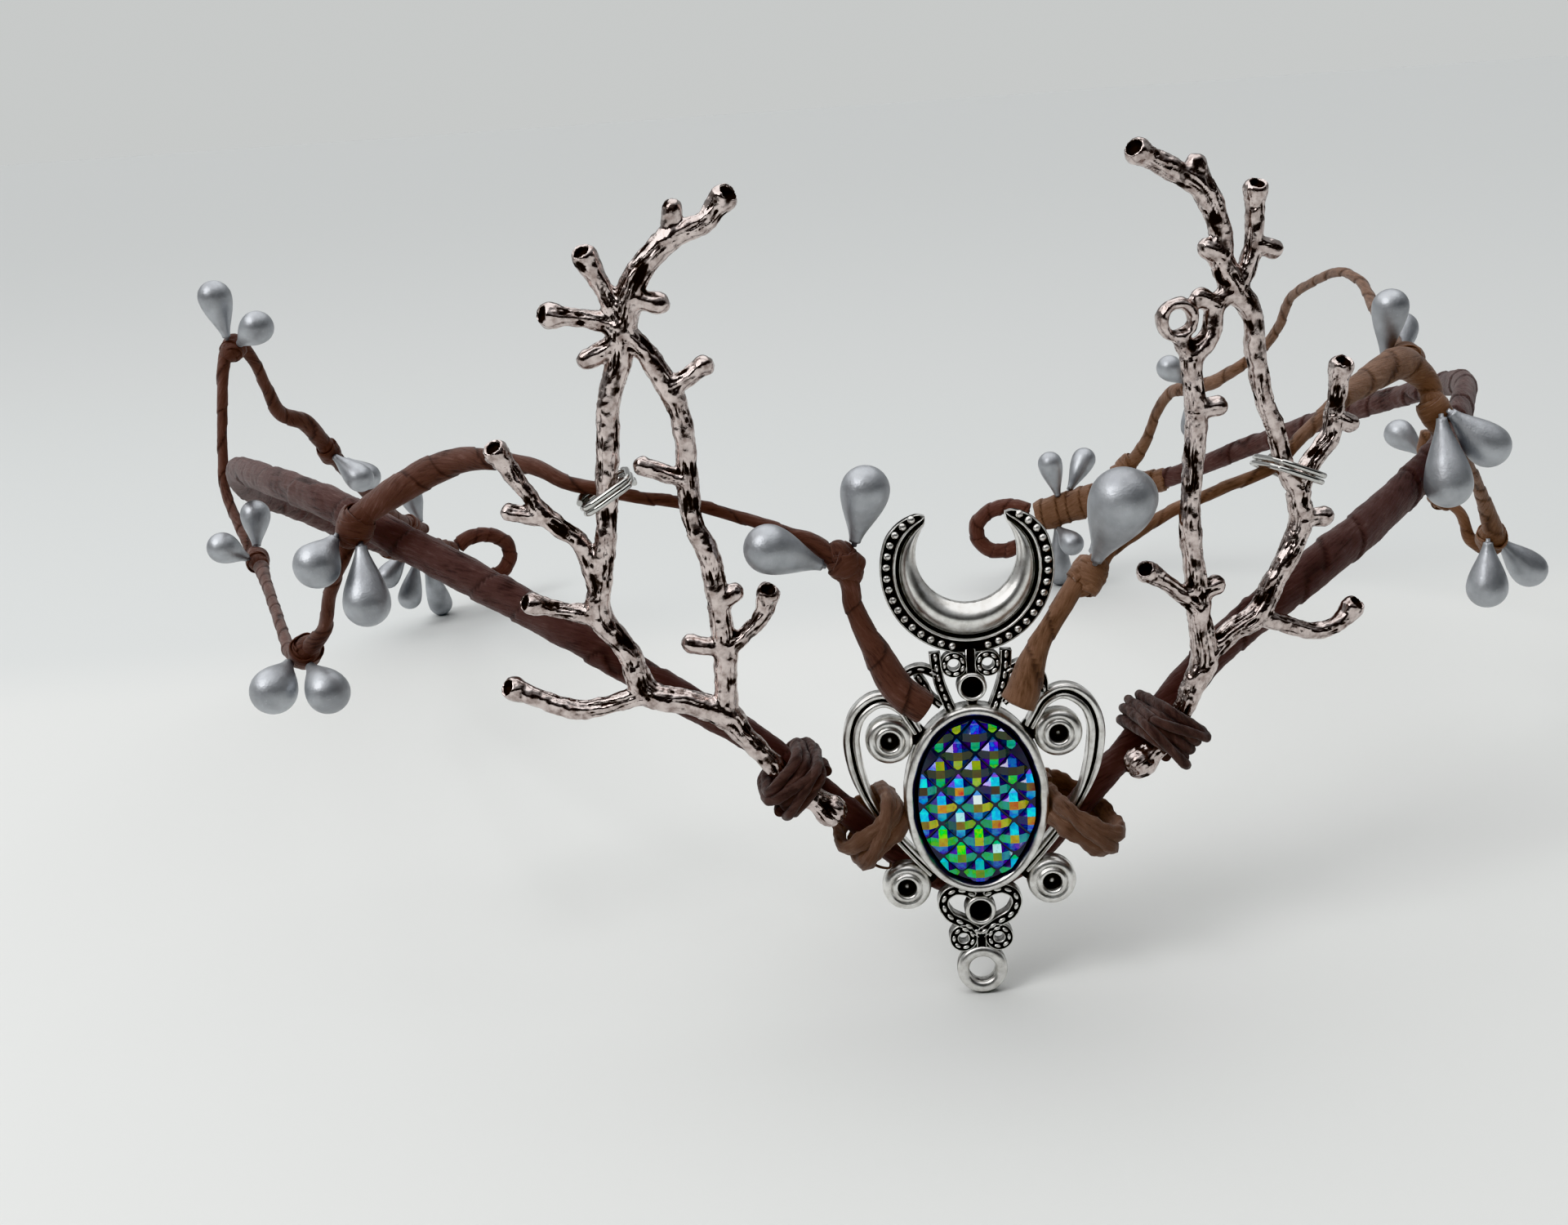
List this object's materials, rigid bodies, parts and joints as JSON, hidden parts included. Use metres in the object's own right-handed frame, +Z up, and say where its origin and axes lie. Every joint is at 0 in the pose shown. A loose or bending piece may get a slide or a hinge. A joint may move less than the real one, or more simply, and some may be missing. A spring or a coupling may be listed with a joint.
{
  "type": "woodland crown",
  "caption": "Open woodland circlet of taped wire with taped vines, silver pips, cast silver twigs and a crescent moon pendant with a faceted oval cabochon.",
  "frame": {"origin": "centre of the box in plan, at the level surface that the crown rests on", "axes": "+X to the right as seen from the front, +Y to the back of the head, +Z up, as the crown rests on a level surface"},
  "size_m": [0.1831, 0.1763, 0.0897],
  "materials": {
    "tape_band": "matte crepe paper tape",
    "tape_loop": "matte crepe paper tape",
    "tape_vine_left": "matte crepe paper tape",
    "tape_vine_right": "matte crepe paper tape",
    "cast_silver": "antique silver, dark in the hollows",
    "cabochon": "faceted resin with a blue and green sheen",
    "pip_silver": "satin silver paint",
    "cord_dark": "matte twisted cord",
    "cord_light": "matte twisted paper cord",
    "silver_wire": "polished wire"
  },
  "bodies": {
    "root": {"band": "tape_band", "loop_left": "tape_loop", "loop_right": "tape_loop", "vine_left": "tape_vine_left", "vine_right": "tape_vine_right", "twig_left": "cast_silver", "twig_right": "cast_silver", "pendant": "cast_silver", "cabochon": "cabochon", "cord_base_left": "cord_dark", "cord_base_right": "cord_dark", "cord_pendant_left": "cord_light", "cord_pendant_right": "cord_light", "wire_tie_left": "silver_wire", "wire_tie_right": "silver_wire", "pip_l1a": "pip_silver", "pip_l1b": "pip_silver", "pip_l2a": "pip_silver", "pip_l2b": "pip_silver", "pip_l3a": "pip_silver", "pip_l3b": "pip_silver", "pip_l4a": "pip_silver", "pip_l4b": "pip_silver", "pip_l5a": "pip_silver", "pip_l5b": "pip_silver", "pip_l6a": "pip_silver", "pip_l6b": "pip_silver", "pip_l7a": "pip_silver", "pip_l7b": "pip_silver", "pip_l7c": "pip_silver", "pip_lf": "pip_silver", "pip_r1a": "pip_silver", "pip_r1b": "pip_silver", "pip_r2a": "pip_silver", "pip_r2b": "pip_silver", "pip_r2c": "pip_silver", "pip_r3a": "pip_silver", "pip_r3b": "pip_silver", "pip_r5a": "pip_silver", "pip_r5b": "pip_silver", "pip_r6a": "pip_silver", "pip_r6b": "pip_silver", "pip_r7a": "pip_silver", "pip_r7b": "pip_silver", "pip_r7c": "pip_silver", "pip_r7d": "pip_silver"}
  },
  "joints": []
}
